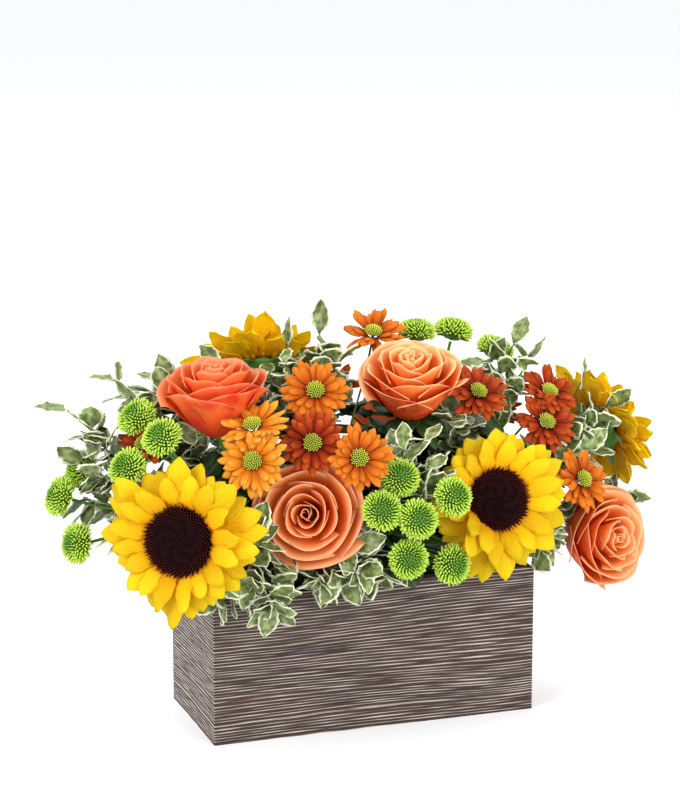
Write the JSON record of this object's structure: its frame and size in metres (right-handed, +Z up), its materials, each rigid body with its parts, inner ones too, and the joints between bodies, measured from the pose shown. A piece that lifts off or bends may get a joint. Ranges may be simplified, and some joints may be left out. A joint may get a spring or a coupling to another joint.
{
  "type": "floral table centerpiece",
  "caption": "Low rectangular wooden box with a plastic liner and floral foam, filled with sunflowers, roses, daisy mums, button mums and variegated foliage.",
  "frame": {"origin": "centre of the box's underside", "axes": "+X along the box's length, -Y out of its front, +Z up"},
  "size_m": [0.4358, 0.2123, 0.284],
  "materials": {
    "wood": "matt, brushed and limed grain",
    "black_plastic": "glossy black",
    "floral_foam": "wet, porous, matt dark green",
    "sunflower_petal": "soft satin petal",
    "sunflower_disc": "matt, fuzzy florets",
    "rose_petal": "velvety petal",
    "daisy_orange": "satin petal",
    "daisy_red": "satin petal",
    "daisy_gold": "satin petal",
    "button_mum": "matt florets",
    "stem": "satin stem and sepal",
    "variegated_leaf": "waxy leaf with a cream edge"
  },
  "bodies": {
    "root": {"box_back_board": "wood", "box_bottom_board": "wood", "box_front_board": "wood", "box_left_board": "wood", "box_right_board": "wood", "button_back_spray": "button_mum", "button_front_spray": "button_mum", "button_lower_left_spray": "button_mum", "button_middle_spray": "button_mum", "button_top_spray": "button_mum", "button_upper_left_spray": "button_mum", "daisy_back_middle_petals": "daisy_orange", "daisy_back_right_petals": "daisy_red", "daisy_back_stems_and_eyes": "stem", "daisy_far_left_red_petals": "daisy_red", "daisy_far_right_red_petals": "daisy_red", "daisy_front_middle_petals": "daisy_orange", "daisy_left_gold_petals": "daisy_gold", "daisy_left_stems_and_eyes": "stem", "daisy_middle_lower_petals": "daisy_red", "daisy_middle_stems_and_eyes": "stem", "daisy_middle_upper_petals": "daisy_orange", "daisy_right_end_petals": "daisy_orange", "daisy_right_red_petals": "daisy_red", "daisy_right_stems_and_eyes": "stem", "daisy_top_middle_petals": "daisy_orange", "floral_foam": "floral_foam", "foliage_back_spray": "variegated_leaf", "foliage_far_left_spray": "variegated_leaf", "foliage_front_left_spray": "variegated_leaf", "foliage_front_middle_spray": "variegated_leaf", "foliage_lower_right_spray": "variegated_leaf", "foliage_middle_spray": "variegated_leaf", "foliage_right_spray": "variegated_leaf", "foliage_top_left_spray": "variegated_leaf", "foliage_upper_left_spray": "variegated_leaf", "foliage_upper_right_spray": "variegated_leaf", "liner": "black_plastic", "rose_back_right_bloom": "rose_petal", "rose_back_right_stem": "stem", "rose_front_middle_bloom": "rose_petal", "rose_front_middle_stem": "stem", "rose_right_bloom": "rose_petal", "rose_right_stem": "stem", "rose_upper_left_bloom": "rose_petal", "rose_upper_left_stem": "stem", "rose_upper_middle_bloom": "rose_petal", "rose_upper_middle_stem": "stem", "sunflower_back_left_disc": "sunflower_disc", "sunflower_back_left_petals": "sunflower_petal", "sunflower_back_left_stem": "stem", "sunflower_front_left_disc": "sunflower_disc", "sunflower_front_left_petals": "sunflower_petal", "sunflower_front_left_stem": "stem", "sunflower_front_right_disc": "sunflower_disc", "sunflower_front_right_petals": "sunflower_petal", "sunflower_front_right_stem": "stem", "sunflower_right_end_disc": "sunflower_disc", "sunflower_right_end_petals": "sunflower_petal", "sunflower_right_end_stem": "stem"}
  },
  "joints": []
}
